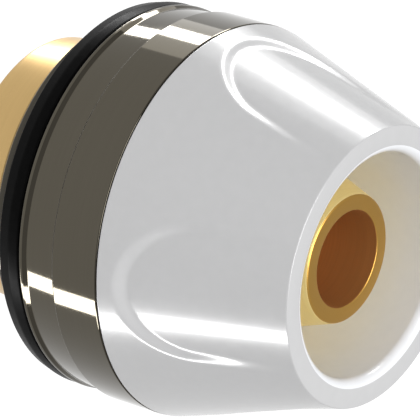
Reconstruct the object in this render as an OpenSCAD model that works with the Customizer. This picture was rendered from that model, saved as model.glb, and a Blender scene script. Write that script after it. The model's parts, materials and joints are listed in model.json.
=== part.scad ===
// Hand-turned valve head on a plain brass neck.
// The origin is the centre of the neck's rear face; +Z runs along the axis to the open front.

/* [Neck] */
// Outer radius of the brass neck
neck_r = 15; // [14.8:0.1:16]
// Inner radius of the brass neck
neck_bore_r = 12; // [11.5:0.1:12.5]
// Length of the neck, up to the back of the carrier plate
neck_h = 10.9; // [10.9:0.1:11]
// Radius of the plated rear flange
flange_r = 19.1; // [18.5:0.1:19.5]
// Height at which the rear flange starts
flange_z = 7.8; // [7:0.1:8.5]
// Radius of the neck's seat inside the rear flange
flange_seat_r = 14.5; // [14:0.1:14.6]

/* [Collar] */
// Largest radius of the plated collar
collar_r = 22; // [21.8:0.1:22.5]
// Inner radius of the plated collar
collar_bore_r = 17; // [16.9:0.1:17.2]
// Height at which the collar starts
collar_z = 13.8; // [13.8:0.1:13.9]
// Height of the collar's top edge
collar_top_z = 24.75; // [24.6:0.05:24.8]

/* [Handwheel] */
// Height of the front rim
rim_z = 45.28; // [44:0.1:47]
// Outer radius of the front rim
rim_r = 15.58; // [15.2:0.1:16]
// Radius of the front opening
mouth_r = 12.5; // [12.4:0.1:12.7]
// Number of finger scoops
scoops = 4; // [3:1:5]
// Half width of a finger scoop
scoop_r = 7.4; // [6:0.1:7.8]
// Depth of a finger scoop at its closed end
scoop_depth = 0.7; // [0.4:0.1:1.2]

/* [Spindle] */
// Radius of the spindle's tip
tip_r = 7.13; // [6.9:0.05:7.4]
// Radius of the bore in the tip
tip_bore_r = 5.4; // [5:0.1:5.6]
// Height of the spindle's tip
tip_z = 41.6; // [40:0.1:42]
// Radius of the spindle's shaft
shaft_r = 6; // [5.9:0.05:6]

/* [Plunger] */
// Radius of the drive screw below the shaft
screw_r = 4; // [3.5:0.1:4]
// Outer radius of the plunger
plunger_r = 10.4; // [10:0.1:10.5]

/* [Hidden] */
$fn = 96;

// The handwheel's rear edge clears the collar by this much
gap = 0.1;
// Radial clearance of a running fit
fit = 0.05;

gasket_h = 0.5;
bonnet_z = collar_z + gasket_h;
bonnet_h = 3;
bonnet_top_z = bonnet_z + bonnet_h;
boss_r = 9.5;
boss_top_z = 22;
bush_r = 8;
screw_circle_r = 14;
bonnet_screw_r = 1.5;
screw_head_r = 2.7;
screw_head_h = 2;
screw_socket_r = 1.45;
screw_tip_z = 11.5;
stop_pin_r = 1;
stop_pin_top_z = 24.3;
washer_h = 0.5;
washer_r = 9.4;

wheel_z = collar_top_z + gap;
wheel_r = collar_r;
web_top_z = 28.95;
web_hole_r = 10;
lip_round = 1.3;
scoop_start = 2.3;
scoop_centre_z = wheel_z + scoop_start + scoop_r;

sleeve_z = 22.8;
stop_ring_r = 12;
stop_ring_h = 1.7;
lug_r = 15.5;
lug_w = 4;
dowel_r = 1;
dowel_z = 25.9;
dowel_half = 9.5;

skirt_r = 11.3;
tip_round = 0.35;
tip_bore_h = 12;
screw_end_z = 7.6;
circlip_z = 12.6;
circlip_h = 0.9;
circlip_r = 7.4;
circlip_groove_r = 5.2;
o_ring_r = 0.5;
o_ring_zs = [16.9, 19.4];
o_ring_groove_h = 1.2;

plunger_z = 5;
plunger_h = 5.6;
plunger_floor = 0.6;
ear_w = 2.4;
ear_r = 11.6;
guide_r = 10.8;
guide_z = 1.5;
guide_slot_w = 3;
pad_r = 5;
pad_h = 1;
cut = 1;

module ring(outer, inner, low, high) {
    translate([0, 0, low])
        difference() {
            cylinder(r = outer, h = high - low);
            translate([0, 0, -cut])
                cylinder(r = inner, h = high - low + 2 * cut);
        }
}

module rod(radius, low, high) {
    translate([0, 0, low])
        cylinder(r = radius, h = high - low);
}

module on_screw_circle() {
    for (turn = [45:90:315])
        rotate(turn)
            translate([screw_circle_r, 0, 0])
                children();
}

module neck() {
    color("peru")
        union() {
            ring(neck_r, neck_bore_r, 0, flange_z);
            ring(flange_seat_r, neck_bore_r, 0, neck_h);
        }
}

module rear_flange() {
    color("dimgray")
        ring(flange_r, flange_seat_r, flange_z, neck_h);
}

module seal_ring() {
    color("black")
        rotate_extrude()
            polygon([[flange_r, neck_h], [21, neck_h], [21.3, 11.15], [21.65, 12.1],
                     [21.7, 13.3], [21.6, collar_z], [flange_r, collar_z]]);
}

module carrier_plate() {
    color("dimgray")
        difference() {
            ring(flange_r, neck_bore_r, neck_h, collar_z);
            on_screw_circle()
                rod(bonnet_screw_r, screw_tip_z, collar_z + cut);
        }
}

// The collar flares at its lip, narrows to a waist and steps out to its full radius
module collar() {
    lip_r = 21.75;
    waist_r = 21.45;
    step_r = 21.7;
    color("silver")
        rotate_extrude()
            polygon([[collar_bore_r, collar_z], [lip_r - 0.3, collar_z], [lip_r, 14.05], [lip_r, 14.4],
                     [waist_r, 14.9], [step_r, 18.6], [collar_r, 18.9], [collar_r, collar_top_z - 0.2],
                     [collar_r - 0.2, collar_top_z], [collar_bore_r, collar_top_z]]);
}

module bonnet_gasket() {
    color("firebrick")
        difference() {
            ring(collar_bore_r, neck_bore_r - 0.5, collar_z, bonnet_z);
            on_screw_circle()
                rod(bonnet_screw_r, collar_z - cut, bonnet_z + cut);
        }
}

module bonnet() {
    color("goldenrod")
        difference() {
            union() {
                rod(collar_bore_r, bonnet_z, bonnet_top_z);
                rod(boss_r, bonnet_z, boss_top_z);
            }
            rod(bush_r, bonnet_z - cut, boss_top_z + cut);
            on_screw_circle()
                rod(bonnet_screw_r, bonnet_z - cut, bonnet_top_z + cut);
            translate([screw_circle_r, 0, 0])
                rod(stop_pin_r, bonnet_z + 1, bonnet_top_z + cut);
        }
}

module bonnet_screws() {
    color("gray")
        on_screw_circle()
            difference() {
                union() {
                    rod(bonnet_screw_r, screw_tip_z, bonnet_top_z);
                    rod(screw_head_r, bonnet_top_z, bonnet_top_z + screw_head_h);
                }
                translate([0, 0, bonnet_top_z + 0.8])
                    cylinder(r = screw_socket_r, h = screw_head_h, $fn = 6);
            }
}

module spindle_bush() {
    color("tan")
        ring(bush_r, shaft_r + fit, collar_z, boss_top_z);
}

module stop_pin() {
    color("gray")
        translate([screw_circle_r, 0, 0])
            rod(stop_pin_r, bonnet_z + 1, stop_pin_top_z);
}

module thrust_washer() {
    color("ivory")
        ring(washer_r, shaft_r + 0.3, boss_top_z, boss_top_z + washer_h);
}

module guide_ring() {
    color("gray")
        difference() {
            ring(neck_bore_r, guide_r, guide_z, neck_h);
            translate([-neck_bore_r - cut, -guide_slot_w / 2, guide_z - cut])
                cube([2 * (neck_bore_r + cut), guide_slot_w, neck_h]);
        }
}

// Everything outside a cone that runs from the scoop's full depth to nothing at the rim
module scoop_cutter() {
    floor_r = wheel_r - scoop_depth - scoop_start * (wheel_r - rim_r) / (rim_z - wheel_z);
    difference() {
        rotate([0, 90, 0])
            translate([-scoop_centre_z, 0, rim_r - 4])
                linear_extrude(height = 12) {
                    circle(r = scoop_r);
                    translate([-rim_z, -scoop_r])
                        square([rim_z, 2 * scoop_r]);
                }
        translate([0, 0, wheel_z + scoop_start])
            cylinder(r1 = floor_r, r2 = rim_r, h = rim_z - wheel_z - scoop_start);
        rod(rim_r, rim_z - 0.01, 3 * rim_z);
    }
}

module handwheel() {
    color("white")
        difference() {
            rotate_extrude()
                polygon([[web_hole_r, wheel_z], [wheel_r, wheel_z], [rim_r, rim_z],
                         [mouth_r + lip_round, rim_z], [mouth_r + 0.4, rim_z - 0.4],
                         [mouth_r, rim_z - lip_round], [mouth_r, web_top_z], [web_hole_r, web_top_z]]);
            for (i = [0:scoops - 1])
                rotate(i * 360 / scoops)
                    scoop_cutter();
        }
}

module spindle() {
    color("darkgoldenrod")
        difference() {
            rotate_extrude()
                polygon([[0, screw_end_z], [screw_r, screw_end_z], [screw_r, circlip_z],
                         [circlip_groove_r, circlip_z], [circlip_groove_r, circlip_z + circlip_h],
                         [shaft_r, circlip_z + circlip_h], [shaft_r, web_top_z], [skirt_r, web_top_z],
                         [tip_r, tip_z - tip_round], [tip_r - tip_round, tip_z], [0, tip_z]]);
            rod(tip_bore_r, tip_z - tip_bore_h, tip_z + cut);
            for (z = o_ring_zs)
                ring(shaft_r + cut, shaft_r - 2 * o_ring_r, z - o_ring_groove_h / 2,
                     z + o_ring_groove_h / 2);
            drive_dowel_rod(dowel_r);
        }
}

module drive_dowel_rod(radius) {
    translate([0, 0, dowel_z])
        rotate([0, 90, 0])
            translate([0, 0, -dowel_half])
                cylinder(r = radius, h = 2 * dowel_half);
}

module spline_sleeve() {
    color("goldenrod")
        difference() {
            ring(web_hole_r, shaft_r, sleeve_z, web_top_z);
            drive_dowel_rod(dowel_r);
        }
}

module drive_dowel() {
    color("gray")
        drive_dowel_rod(dowel_r);
}

module stop_ring() {
    color("gray")
        difference() {
            union() {
                rod(stop_ring_r, sleeve_z, sleeve_z + stop_ring_h);
                translate([-lug_r, -lug_w / 2, sleeve_z])
                    cube([lug_r, lug_w, stop_ring_h]);
            }
            rod(web_hole_r, sleeve_z - cut, sleeve_z + stop_ring_h + cut);
        }
}

module spindle_circlip() {
    color("gray")
        difference() {
            ring(circlip_r, circlip_groove_r, circlip_z, circlip_z + circlip_h);
            translate([0, -1.5, circlip_z - cut])
                cube([2 * circlip_r, 3, circlip_h + 2 * cut]);
        }
}

module spindle_o_rings() {
    color("black")
        for (z = o_ring_zs)
            translate([0, 0, z])
                rotate_extrude()
                    translate([shaft_r - o_ring_r, 0])
                        circle(r = o_ring_r, $fn = 24);
}

module plunger() {
    color("goldenrod")
        difference() {
            union() {
                rod(plunger_r, plunger_z, plunger_z + plunger_h);
                translate([-ear_r, -ear_w / 2, plunger_z])
                    cube([2 * ear_r, ear_w, plunger_h]);
            }
            rod(screw_r + fit, plunger_z + plunger_floor, plunger_z + plunger_h + cut);
        }
}

module pressure_pad() {
    color("silver")
        rod(pad_r, plunger_z - pad_h, plunger_z);
}

neck();
rear_flange();
seal_ring();
carrier_plate();
collar();
bonnet_gasket();
bonnet();
bonnet_screws();
spindle_bush();
stop_pin();
thrust_washer();
guide_ring();
handwheel();
spindle();
spline_sleeve();
drive_dowel();
stop_ring();
spindle_circlip();
spindle_o_rings();
plunger();
pressure_pad();
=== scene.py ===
import json
import math

import bmesh
import bpy
from mathutils import Matrix, Vector


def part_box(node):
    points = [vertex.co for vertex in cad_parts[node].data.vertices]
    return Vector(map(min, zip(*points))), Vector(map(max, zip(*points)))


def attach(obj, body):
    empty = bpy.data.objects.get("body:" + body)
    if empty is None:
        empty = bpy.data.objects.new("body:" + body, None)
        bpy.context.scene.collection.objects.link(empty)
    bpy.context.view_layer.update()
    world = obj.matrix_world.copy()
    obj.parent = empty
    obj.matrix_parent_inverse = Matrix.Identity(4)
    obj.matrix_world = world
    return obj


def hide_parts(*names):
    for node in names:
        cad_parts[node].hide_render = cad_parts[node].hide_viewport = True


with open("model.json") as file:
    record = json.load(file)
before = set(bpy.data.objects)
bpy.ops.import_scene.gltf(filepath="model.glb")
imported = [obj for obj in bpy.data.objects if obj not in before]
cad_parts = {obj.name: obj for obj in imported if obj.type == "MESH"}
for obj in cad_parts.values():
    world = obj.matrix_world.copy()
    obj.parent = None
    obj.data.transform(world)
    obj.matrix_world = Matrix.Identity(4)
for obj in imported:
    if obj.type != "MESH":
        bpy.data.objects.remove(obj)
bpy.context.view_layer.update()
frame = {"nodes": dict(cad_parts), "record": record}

MM = 0.001
SEGMENTS = 288
COLLAR_SEGMENTS = 384
WHEEL_SEGMENTS = 576
WHEEL_ROWS = 112
ARC_STEPS = 6

# Radii and heights in millimetres, where a CAD node's box gives them
neck_low, neck_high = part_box("neck")
collar_low, collar_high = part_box("collar")
wheel_low, wheel_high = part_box("handwheel")
flange_low, flange_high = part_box("rear_flange")
spindle_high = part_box("spindle")[1]
seal_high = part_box("seal_ring")[1]

NECK_R = neck_high[0] / MM
NECK_TOP = neck_high[2] / MM
COLLAR_R = collar_high[0] / MM
COLLAR_Z = collar_low[2] / MM
COLLAR_TOP = collar_high[2] / MM
WHEEL_R = wheel_high[0] / MM
WHEEL_Z = wheel_low[2] / MM
RIM_Z = wheel_high[2] / MM
TIP_Z = spindle_high[2] / MM
SKIRT_R = spindle_high[0] / MM
FLANGE_R = flange_high[0] / MM
FLANGE_Z = flange_low[2] / MM
SEAL_R = seal_high[0] / MM

# Sizes in millimetres, and the number of scoops, which the boxes don't show. They are the CAD model's
NECK_BORE_R = 12
COLLAR_BORE_R = 17
RIM_R = 15.58
MOUTH_R = 12.5
WEB_TOP = 28.95
WEB_HOLE_R = 10
SCOOP_R = 7.4
SCOOP_DEPTH = 0.7
SCOOP_START = 2.3
SCOOPS = 4
TIP_R = 7.13
TIP_BORE_R = 5.4
TIP_BORE_DEPTH = 12
SHAFT_R = 6
SCREW_R = 4
SCREW_END = 7.6
CIRCLIP_Z = 12.6
CIRCLIP_H = 0.9
CIRCLIP_GROOVE = 0.8
LIP_R = 21.75
WAIST_R = 21.45
STEP_R = 21.7
STEP_Z = 18.6
SHOULDER_Z = 18.9

# Sizes in millimetres of the finer details of the flange, the sealing ring and the collar's lip
FLANGE_BEVEL = 0.9
SEAL_FOOT_INSET = 0.4
SEAL_WIDEST_Z = NECK_TOP + 1.6
SEAL_TOP_INSET = 0.1
LIP_EDGE_R = LIP_R - 0.25
LIP_Z = COLLAR_Z + 0.35
LIP_BACK_R = LIP_R - 0.05
LIP_BACK_Z = COLLAR_Z + 0.65
WAIST_Z = COLLAR_Z + 1.1
# Half the width over which a finger scoop's edge runs out into the cone
SCOOP_WALL = 0.7
# Points closer than this to the plain cone belong to the handwheel's outside
ON_CONE = 0.3
# The scoops end this far below the rim
RIM_MARGIN = 0.3
# The lighter copy of the white plastic, painted light on the inside, starts this far below the rim and
# reaches this far outside the mouth's radius
INNER_START = 0.03
INNER_REACH = 1
# Margins of the test that finds the faces of the spindle's bore, which get the brass darkened with painted
# shade
BORE_WALL_MARGIN = 0.01
BORE_FLOOR_MARGIN = 0.1
# A turned outline stops short of the axis, so a hole of this radius runs from the bore's floor to the
# screw's end
AXIS_R = 0.4


# ---------------------------------------------------------------- shapes

def rounded(corners):
    """The points of a closed outline from its corners (r, z, fillet radius), each fillet as an arc."""
    outline = []
    count = len(corners)
    for i, (r, z, fillet) in enumerate(corners):
        here = Vector((r, z))
        if fillet <= 0:
            outline.append(here)
            continue
        before = (Vector(corners[i - 1][:2]) - here).normalized()
        after = (Vector(corners[(i + 1) % count][:2]) - here).normalized()
        half = before.angle(after) / 2
        reach = fillet / math.tan(half)
        centre = here + (before + after).normalized() * fillet / math.sin(half)
        first = here + before * reach - centre
        turn = first.angle_signed(here + after * reach - centre)
        for step in range(ARC_STEPS + 1):
            outline.append(centre + Matrix.Rotation(-turn * step / ARC_STEPS, 2) @ first)
    return outline


def lathe(name, outline, segments=SEGMENTS, carve=None):
    """A solid of revolution about Z. carve(r, z, angle) gives the radius where the surface isn't round."""
    verts = []
    for r, z in outline:
        for k in range(segments):
            angle = 2 * math.pi * k / segments
            radius = carve(r, z, angle) if carve else r
            verts.append((radius * MM * math.cos(angle), radius * MM * math.sin(angle), z * MM))
    faces = []
    for i in range(len(outline)):
        row, next_row = i * segments, (i + 1) % len(outline) * segments
        for k in range(segments):
            n = (k + 1) % segments
            faces.append((row + k, row + n, next_row + n, next_row + k))
    mesh = bpy.data.meshes.new(name)
    mesh.from_pydata(verts, [], faces)
    mesh.validate()
    mesh.shade_smooth()
    obj = bpy.data.objects.new(name, mesh)
    bpy.context.collection.objects.link(obj)
    weights = obj.modifiers.new("even_normals", "WEIGHTED_NORMAL")
    weights.mode = "FACE_AREA"
    weights.weight = 90
    return obj


def cone_radius(z):
    """Radius of the handwheel's plain cone at height z."""
    return WHEEL_R + (RIM_R - WHEEL_R) * (z - WHEEL_Z) / (RIM_Z - WHEEL_Z)


def smooth_step(x):
    """Rises from 0 to 1 as x does, level at both ends."""
    x = min(max(x, 0), 1)
    return x * x * (3 - 2 * x)


def scooped(r, z, angle):
    """Radius of the handwheel's outside with its finger scoops, which fade out at the rim."""
    if r < cone_radius(z) - ON_CONE or z <= WHEEL_Z + SCOOP_START / 2 or z >= RIM_Z - RIM_MARGIN:
        return r
    spacing = 2 * math.pi / SCOOPS
    off = (angle + spacing / 2) % spacing - spacing / 2
    centre_z = WHEEL_Z + SCOOP_START + SCOOP_R
    edge = math.hypot(r * math.sin(off), min(z - centre_z, 0)) - SCOOP_R
    inside = smooth_step((SCOOP_WALL - edge) / (2 * SCOOP_WALL))
    fade = (RIM_Z - z) / (RIM_Z - WHEEL_Z - SCOOP_START)
    return r - inside * SCOOP_DEPTH * min(fade, 1)


def facing_out(obj):
    """Turns the faces of a closed piece outwards."""
    work = bmesh.new()
    work.from_mesh(obj.data)
    bmesh.ops.recalc_face_normals(work, faces=work.faces)
    work.to_mesh(obj.data)
    work.free()


# ---------------------------------------------------------------- materials

COAT_ROUGHNESS = 0.06
PLAIN_GRAIN = (1, 1, 1)
TURNED_GRAIN = (0.12, 0.12, 6.0)
GRAIN_DETAIL = 5
TONE_LOW = 0.3
TONE_HIGH = 0.7
ROUGHNESS_SPREAD = 0.2
BUMP_HEIGHT = 0.00002


def material(name, colour, metallic, roughness, grain_scale, variation, bump,
             coat=0.0, turned=False, gloss=0.5):
    """A procedural surface with grain in colour, roughness and bump. Turned grain is squeezed along Z and
    drawn out across it."""
    mat = bpy.data.materials.new(name)
    mat.use_nodes = True
    nodes, links = mat.node_tree.nodes, mat.node_tree.links
    shader = nodes["Principled BSDF"]
    shader.inputs["Metallic"].default_value = metallic
    shader.inputs["Coat Weight"].default_value = coat
    shader.inputs["Coat Roughness"].default_value = COAT_ROUGHNESS
    shader.inputs["Specular IOR Level"].default_value = gloss
    place = nodes.new("ShaderNodeTexCoord")
    stretch = nodes.new("ShaderNodeMapping")
    stretch.inputs["Scale"].default_value = TURNED_GRAIN if turned else PLAIN_GRAIN
    links.new(place.outputs["Object"], stretch.inputs["Vector"])
    grain = nodes.new("ShaderNodeTexNoise")
    grain.inputs["Scale"].default_value = grain_scale
    grain.inputs["Detail"].default_value = GRAIN_DETAIL
    links.new(stretch.outputs["Vector"], grain.inputs["Vector"])
    tone = nodes.new("ShaderNodeValToRGB")
    tone.color_ramp.elements[0].position = TONE_LOW
    tone.color_ramp.elements[1].position = TONE_HIGH
    tone.color_ramp.elements[0].color = [c * (1 - variation) for c in colour] + [1]
    tone.color_ramp.elements[1].color = [min(1, c * (1 + variation)) for c in colour] + [1]
    links.new(grain.outputs["Fac"], tone.inputs["Fac"])
    links.new(tone.outputs["Color"], shader.inputs["Base Color"])
    rough = nodes.new("ShaderNodeMapRange")
    rough.inputs["To Min"].default_value = roughness * (1 - ROUGHNESS_SPREAD)
    rough.inputs["To Max"].default_value = roughness * (1 + ROUGHNESS_SPREAD)
    links.new(grain.outputs["Fac"], rough.inputs["Value"])
    links.new(rough.outputs["Result"], shader.inputs["Roughness"])
    relief = nodes.new("ShaderNodeBump")
    relief.inputs["Strength"].default_value = bump
    relief.inputs["Distance"].default_value = BUMP_HEIGHT
    links.new(grain.outputs["Fac"], relief.inputs["Height"])
    links.new(relief.outputs["Normal"], shader.inputs["Normal"])
    return mat


MATERIALS = {
    "white_plastic": material("white_plastic", (0.45, 0.45, 0.454), 0, 0.22, 900, 0.012, 0.04, coat=0.3),
    # A lighter copy of white_plastic for the handwheel's inside: painted light in the hollow, where the
    # real part is the same plastic
    "inner_plastic_painted_light": material("inner_plastic_painted_light", (0.7, 0.71, 0.73), 0, 0.24, 900, 0.012, 0.04, coat=0.3),
    "nickel": material("nickel", (0.08, 0.072, 0.056), 1, 0.06, 700, 0.02, 0.01, turned=True),
    "dark_nickel": material("dark_nickel", (0.05, 0.046, 0.038), 1, 0.09, 700, 0.03, 0.02, turned=True),
    "black_rubber": material("black_rubber", (0.0015, 0.0015, 0.0015),
                             0, 0.35, 1500, 0.3, 0.1, gloss=0.03),
    "neck_brass": material("neck_brass", (0.45, 0.305, 0.13), 1, 0.3, 500, 0.03, 0.03, turned=True),
    "spindle_brass": material("spindle_brass", (0.55, 0.31, 0.07),
                              1, 0.32, 800, 0.04, 0.06, turned=True),
    # A darker copy of spindle_brass for the bore: painted shade in the recess, where the real bore is the
    # same brass
    "bore_brass_painted_shade": material("bore_brass_painted_shade", (0.5, 0.23, 0.07), 0.55, 0.5, 800, 0.05, 0.1, turned=True),
    # A lighter copy of spindle_brass for the flare: painted light, where the real flare is the same brass
    "flare_brass_painted_light": material("flare_brass_painted_light", (1.0, 0.78, 0.34), 0.6, 0.4, 800, 0.04, 0.06, turned=True),
    "inner_brass": material("inner_brass", (0.6, 0.4, 0.17), 1, 0.32, 600, 0.08, 0.12, turned=True),
    "steel": material("steel", (0.45, 0.45, 0.46), 1, 0.35, 800, 0.08, 0.12, turned=True),
    "nylon": material("nylon", (0.8, 0.79, 0.74), 0, 0.5, 900, 0.03, 0.1),
    "fibre": material("fibre", (0.4, 0.1, 0.06), 0, 0.85, 2500, 0.25, 0.5),
}


def dress(obj, name):
    obj.data.materials.clear()
    obj.data.materials.append(MATERIALS[name])


def dress_cad_nodes():
    """Every CAD node gets the material of its record slot."""
    for part in frame["record"]["subparts"]:
        obj = frame["nodes"][part["node"]]
        for place in obj.material_slots:
            place.material = MATERIALS[part["material_slot"]]


def place_piece(obj, body, node, name):
    """Gives a visible piece its material and puts it on a body in place of a CAD node."""
    facing_out(obj)
    dress(obj, name)
    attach(obj, body)
    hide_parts(node)


# ---------------------------------------------------------------- pieces

def make_neck():
    outline = rounded([(NECK_BORE_R, 0, 0.3), (NECK_R, 0, 0.5),
                       (NECK_R, NECK_TOP, 0), (NECK_BORE_R, NECK_TOP, 0)])
    place_piece(lathe("neck_turned", outline), "body", "neck", "neck_brass")


def make_rear_flange():
    outline = rounded([(NECK_R, FLANGE_Z, 0), (FLANGE_R - FLANGE_BEVEL, FLANGE_Z, 0.3),
                       (FLANGE_R, FLANGE_Z + FLANGE_BEVEL, 0.3),
                       (FLANGE_R, NECK_TOP, 0), (NECK_R, NECK_TOP, 0)])
    place_piece(lathe("rear_flange_turned", outline), "body", "rear_flange", "dark_nickel")


def make_seal_ring():
    outline = rounded([(FLANGE_R, NECK_TOP, 0), (SEAL_R - SEAL_FOOT_INSET, NECK_TOP, 0.35),
                       (SEAL_R, SEAL_WIDEST_Z, 1.2), (SEAL_R - SEAL_TOP_INSET, COLLAR_Z, 0.3),
                       (FLANGE_R, COLLAR_Z, 0)])
    place_piece(lathe("seal_ring_moulded", outline), "body", "seal_ring", "black_rubber")


def make_collar():
    outline = rounded([(COLLAR_BORE_R, COLLAR_Z, 0), (LIP_EDGE_R, COLLAR_Z, 0.1), (LIP_R, LIP_Z, 0.2),
                       (LIP_BACK_R, LIP_BACK_Z, 0.15), (WAIST_R, WAIST_Z, 0.3),
                       (STEP_R, STEP_Z, 0.1), (COLLAR_R, SHOULDER_Z, 0.12),
                       (COLLAR_R, COLLAR_TOP, 0.15), (COLLAR_BORE_R, COLLAR_TOP, 0)])
    place_piece(lathe("collar_polished", outline, COLLAR_SEGMENTS), "body", "collar", "nickel")


def make_handwheel():
    longest = (RIM_Z - WHEEL_Z) / WHEEL_ROWS
    outline = rounded([(WEB_HOLE_R, WHEEL_Z, 0), (WHEEL_R, WHEEL_Z, 0.12), (RIM_R, RIM_Z, 0.2),
                       (MOUTH_R, RIM_Z, 1.2), (MOUTH_R, WEB_TOP, 0.4), (WEB_HOLE_R, WEB_TOP, 0)])
    rows = []
    for i, here in enumerate(outline):
        there = outline[(i + 1) % len(outline)]
        on_cone = min(here.x - cone_radius(here.y), there.x - cone_radius(there.y)) > -ON_CONE
        pieces = math.ceil((there - here).length / longest) if on_cone else 1
        rows += [here.lerp(there, k / pieces) for k in range(max(pieces, 1))]
    wheel = lathe("handwheel_moulded", rows, WHEEL_SEGMENTS, scooped)
    place_piece(wheel, "wheel", "handwheel", "white_plastic")
    # The inside faces get the lighter copy of the plastic: painted light in the hollow
    wheel.data.materials.append(MATERIALS["inner_plastic_painted_light"])
    for face in wheel.data.polygons:
        r = math.hypot(face.center.x, face.center.y) / MM
        if r < MOUTH_R + INNER_REACH and face.center.z / MM < RIM_Z - INNER_START:
            face.material_index = 1


def make_spindle():
    outline = rounded([(AXIS_R, SCREW_END, 0), (SCREW_R, SCREW_END, 0.3), (SCREW_R, CIRCLIP_Z, 0),
                       (SHAFT_R - CIRCLIP_GROOVE, CIRCLIP_Z, 0),
                       (SHAFT_R - CIRCLIP_GROOVE, CIRCLIP_Z + CIRCLIP_H, 0),
                       (SHAFT_R, CIRCLIP_Z + CIRCLIP_H, 0), (SHAFT_R, WEB_TOP, 0), (SKIRT_R, WEB_TOP, 0.2),
                       (TIP_R, TIP_Z, 0.35), (TIP_BORE_R, TIP_Z, 0.12),
                       (TIP_BORE_R, TIP_Z - TIP_BORE_DEPTH, 0.2), (AXIS_R, TIP_Z - TIP_BORE_DEPTH, 0)])
    spindle = lathe("spindle_turned", outline)
    place_piece(spindle, "wheel", "spindle", "spindle_brass")
    # The bore's faces get the brass darkened with painted shade
    spindle.data.materials.append(MATERIALS["bore_brass_painted_shade"])
    # The flare's faces get the brass lightened with painted light
    spindle.data.materials.append(MATERIALS["flare_brass_painted_light"])
    for face in spindle.data.polygons:
        r = math.hypot(face.center.x, face.center.y) / MM
        z = face.center.z / MM
        if r < TIP_BORE_R + BORE_WALL_MARGIN and z > TIP_Z - TIP_BORE_DEPTH - BORE_FLOOR_MARGIN:
            face.material_index = 1
        elif r > TIP_R and z > WEB_TOP:
            face.material_index = 2


# ---------------------------------------------------------------- stage

# Angles in degrees, distances in metres, the lens and the sensor's width in millimetres
CAMERA_AZIMUTH = 62.0
CAMERA_ELEVATION = 34.3
CAMERA_ROLL = 106.93
CAMERA_DISTANCE = 0.5397
CAMERA_LENS = 425.5
CAMERA_SENSOR = 36
CAMERA_CLIP_START = 0.01
# Where the middle of the picture lies from the collar's top centre, in millimetres as the camera sees it
AIM_RIGHT = -1.352
AIM_UP = 1.192

# Lengths and heights of the stage in metres
FLOOR_HALF = 6
CLEARANCE_UNDER = 0.15
STRIP_LENGTH = 0.2
STRIP_HEIGHT = -0.03
OVERHEAD_FROM = 0.3
OVERHEAD_AIM = 0.02

FLOOR_TONE = 0.8
FLOOR_ROUGHNESS = 0.9
FLOOR_GLOW = 0.15
WORLD_STRENGTH = 0.55


def make_camera():
    """The camera looks down on the upright object and is rolled, so that the axis runs to the right."""
    azimuth, elevation = math.radians(CAMERA_AZIMUTH), math.radians(CAMERA_ELEVATION)
    back = Vector((math.cos(elevation) * math.cos(azimuth), math.cos(elevation) * math.sin(azimuth),
                   math.sin(elevation)))
    level = Vector((-math.sin(azimuth), math.cos(azimuth), 0))
    upright = back.cross(level)
    roll = math.radians(CAMERA_ROLL)
    right = math.cos(roll) * level + math.sin(roll) * upright
    up = -math.sin(roll) * level + math.cos(roll) * upright
    aim = Vector((0, 0, COLLAR_TOP * MM)) + right * AIM_RIGHT * MM + up * AIM_UP * MM
    turn = Matrix((right, up, back)).transposed().to_4x4()
    data = bpy.data.cameras.new("camera")
    data.lens = CAMERA_LENS
    data.sensor_width = CAMERA_SENSOR
    data.clip_start = CAMERA_CLIP_START
    camera = bpy.data.objects.new("camera", data)
    camera.matrix_world = Matrix.Translation(aim + back * CAMERA_DISTANCE) @ turn
    bpy.context.collection.objects.link(camera)
    bpy.context.scene.camera = camera


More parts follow.
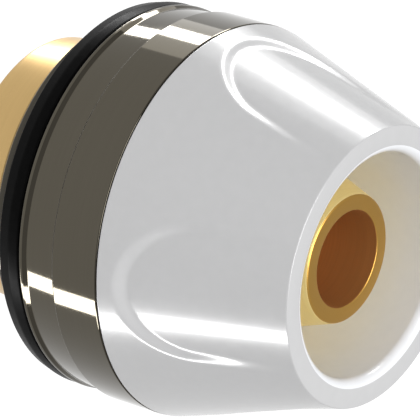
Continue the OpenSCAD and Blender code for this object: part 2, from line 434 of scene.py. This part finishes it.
def make_floor():
    mesh = bpy.data.meshes.new("floor")
    low = neck_low[2] - CLEARANCE_UNDER
    corners = [(x * FLOOR_HALF, y * FLOOR_HALF, low) for x, y in ((-1, -1), (1, -1), (1, 1), (-1, 1))]
    mesh.from_pydata(corners, [], [(0, 1, 2, 3)])
    floor = bpy.data.objects.new("floor", mesh)
    bpy.context.collection.objects.link(floor)
    mat = bpy.data.materials.new("floor")
    mat.use_nodes = True
    shader = mat.node_tree.nodes["Principled BSDF"]
    shader.inputs["Base Color"].default_value = (FLOOR_TONE, FLOOR_TONE, FLOOR_TONE, 1)
    shader.inputs["Roughness"].default_value = FLOOR_ROUGHNESS
    shader.inputs["Emission Color"].default_value = (1, 1, 1, 1)
    shader.inputs["Emission Strength"].default_value = FLOOR_GLOW
    mesh.materials.append(mat)


def area_light(name, azimuth, reach, height, width, length, power, streak_only=False):
    """A soft box at an azimuth and a reach from the axis, which the camera doesn't see. One that is lower
    than OVERHEAD_FROM stands upright and faces the axis. With streak_only it gives no diffuse light."""
    data = bpy.data.lights.new(name, "AREA")
    data.shape = "RECTANGLE"
    data.size = width
    data.size_y = length
    data.energy = power
    light = bpy.data.objects.new(name, data)
    turn = math.radians(azimuth)
    light.location = (reach * math.cos(turn), reach * math.sin(turn), height)
    aim = Vector((0, 0, OVERHEAD_AIM)) - light.location
    if height < OVERHEAD_FROM:
        aim.z = 0
    light.rotation_euler = aim.to_track_quat("-Z", "Y").to_euler()
    light.visible_camera = False
    light.visible_diffuse = not streak_only
    bpy.context.collection.objects.link(light)


def make_lights():
    area_light("strip_left", azimuth=130, reach=0.16, height=STRIP_HEIGHT,
               width=0.026, length=STRIP_LENGTH, power=0.36, streak_only=True)
    area_light("strip_right", azimuth=-42, reach=0.16, height=STRIP_HEIGHT,
               width=0.03, length=STRIP_LENGTH, power=0.36, streak_only=True)
    area_light("panel_right", azimuth=-42, reach=0.19, height=STRIP_HEIGHT,
               width=0.13, length=STRIP_LENGTH, power=0.12, streak_only=True)
    area_light("overhead", azimuth=50, reach=0.25, height=1.05, width=0.8, length=0.8, power=13)
    world = bpy.data.worlds.new("studio")
    world.use_nodes = True
    world.node_tree.nodes["Background"].inputs["Color"].default_value = (1, 1, 1, 1)
    world.node_tree.nodes["Background"].inputs["Strength"].default_value = WORLD_STRENGTH
    bpy.context.scene.world = world
    bpy.context.scene.view_settings.view_transform = "Standard"


make_camera()
dress_cad_nodes()
make_neck()
make_rear_flange()
make_seal_ring()
make_collar()
make_handwheel()
make_spindle()
make_floor()
make_lights()
